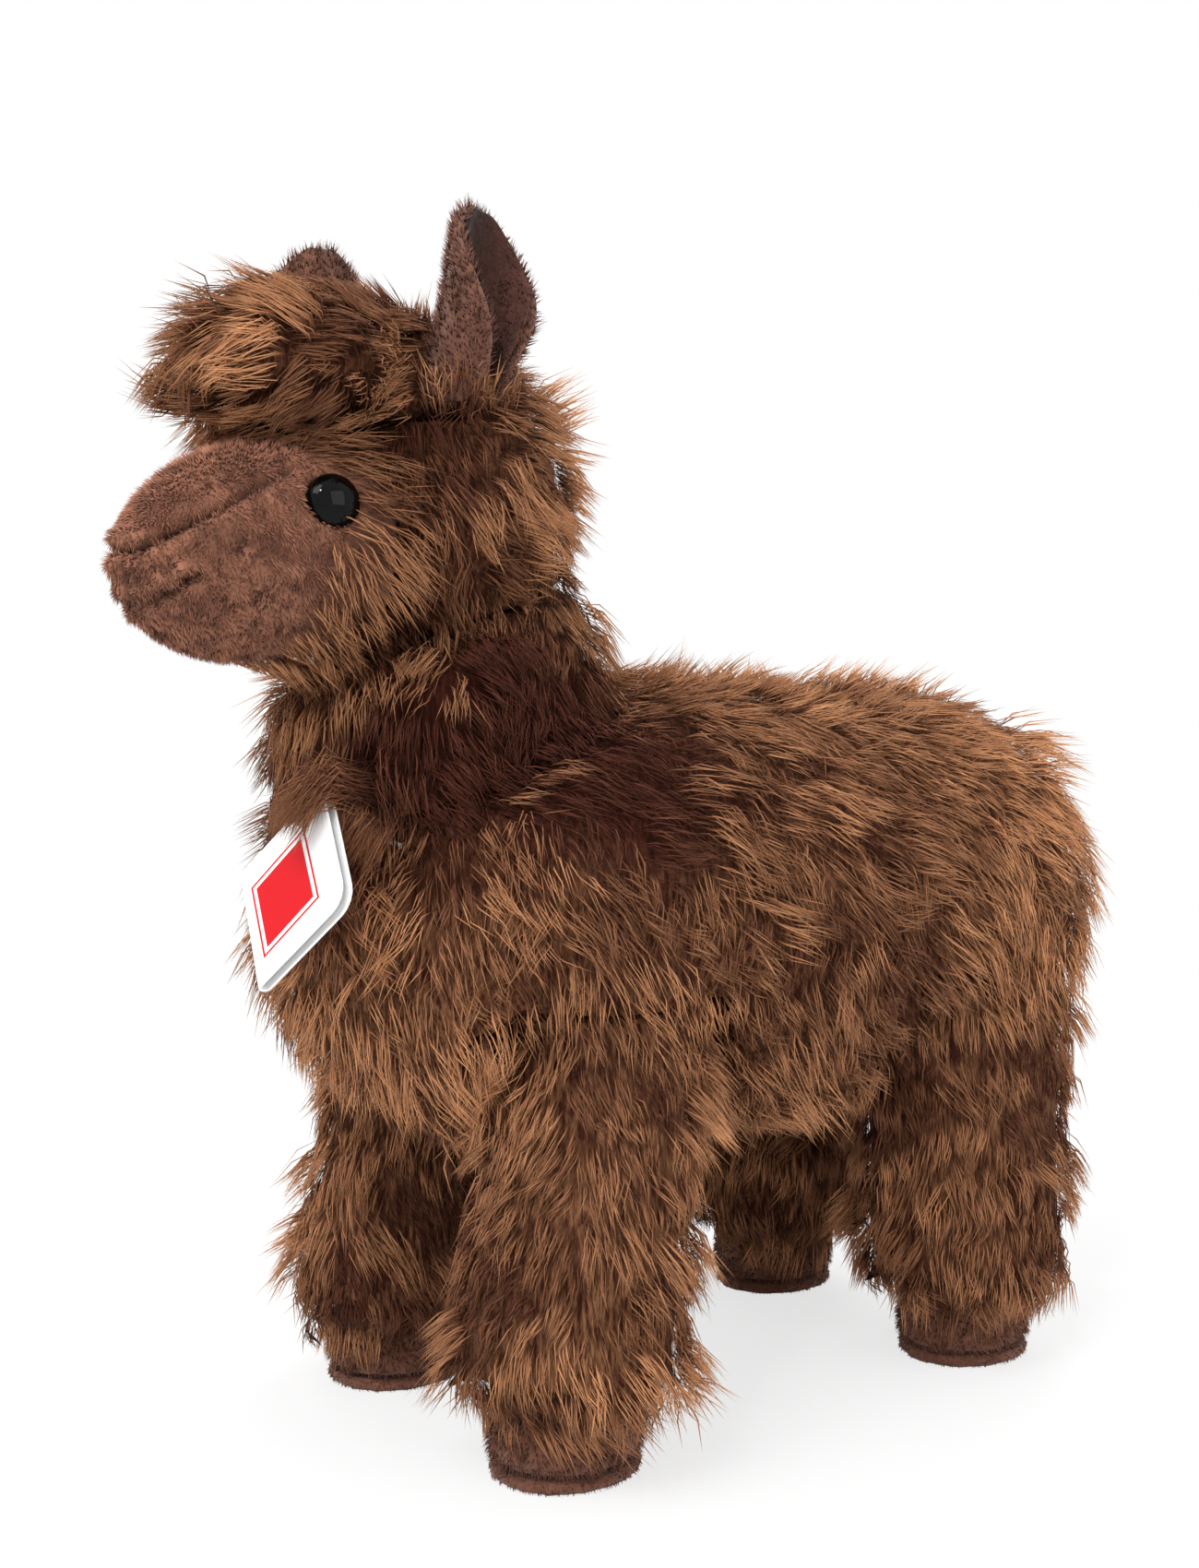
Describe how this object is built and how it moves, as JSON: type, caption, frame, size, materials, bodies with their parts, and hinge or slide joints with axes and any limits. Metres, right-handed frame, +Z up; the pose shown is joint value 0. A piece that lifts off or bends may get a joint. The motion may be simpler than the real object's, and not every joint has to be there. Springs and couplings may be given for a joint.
{
  "type": "plush alpaca",
  "caption": "Standing stuffed alpaca toy in shaggy long-pile fabric, with short-pile muzzle, ears and feet, safety eyes and a hanging tag.",
  "frame": {"origin": "middle of the toy's box, on the plane that its soles stand on", "axes": "+Z up, -Y the way the body faces, +X the animal's left side"},
  "size_m": [0.1162, 0.231, 0.2356],
  "materials": {
    "long_pile": "brown long pile, darker at the root",
    "short_pile": "reddish brown short pile",
    "ear_lining": "dark brown smooth plush",
    "foot_pile": "dark brown short pile",
    "sole_cloth": "brown short pile",
    "eye_plastic": "glossy black",
    "washer_plastic": "natural white",
    "tag_card": "coated white card",
    "tie_plastic": "translucent white"
  },
  "bodies": {
    "root": {"torso": "long_pile", "neck": "long_pile", "head": "long_pile", "topknot": "long_pile", "tail": "long_pile", "leg_front_left": "long_pile", "leg_front_right": "long_pile", "leg_hind_left": "long_pile", "leg_hind_right": "long_pile", "muzzle": "short_pile", "ear_back_left": "short_pile", "ear_back_right": "short_pile", "ear_lining_left": "ear_lining", "ear_lining_right": "ear_lining", "foot_front_left": "foot_pile", "foot_front_right": "foot_pile", "foot_hind_left": "foot_pile", "foot_hind_right": "foot_pile", "sole_front_left": "sole_cloth", "sole_front_right": "sole_cloth", "sole_hind_left": "sole_cloth", "sole_hind_right": "sole_cloth", "eye_left": "eye_plastic", "eye_right": "eye_plastic", "eye_washer_left": "washer_plastic", "eye_washer_right": "washer_plastic", "swing_tag": "tag_card", "tag_tie": "tie_plastic"}
  },
  "joints": []
}
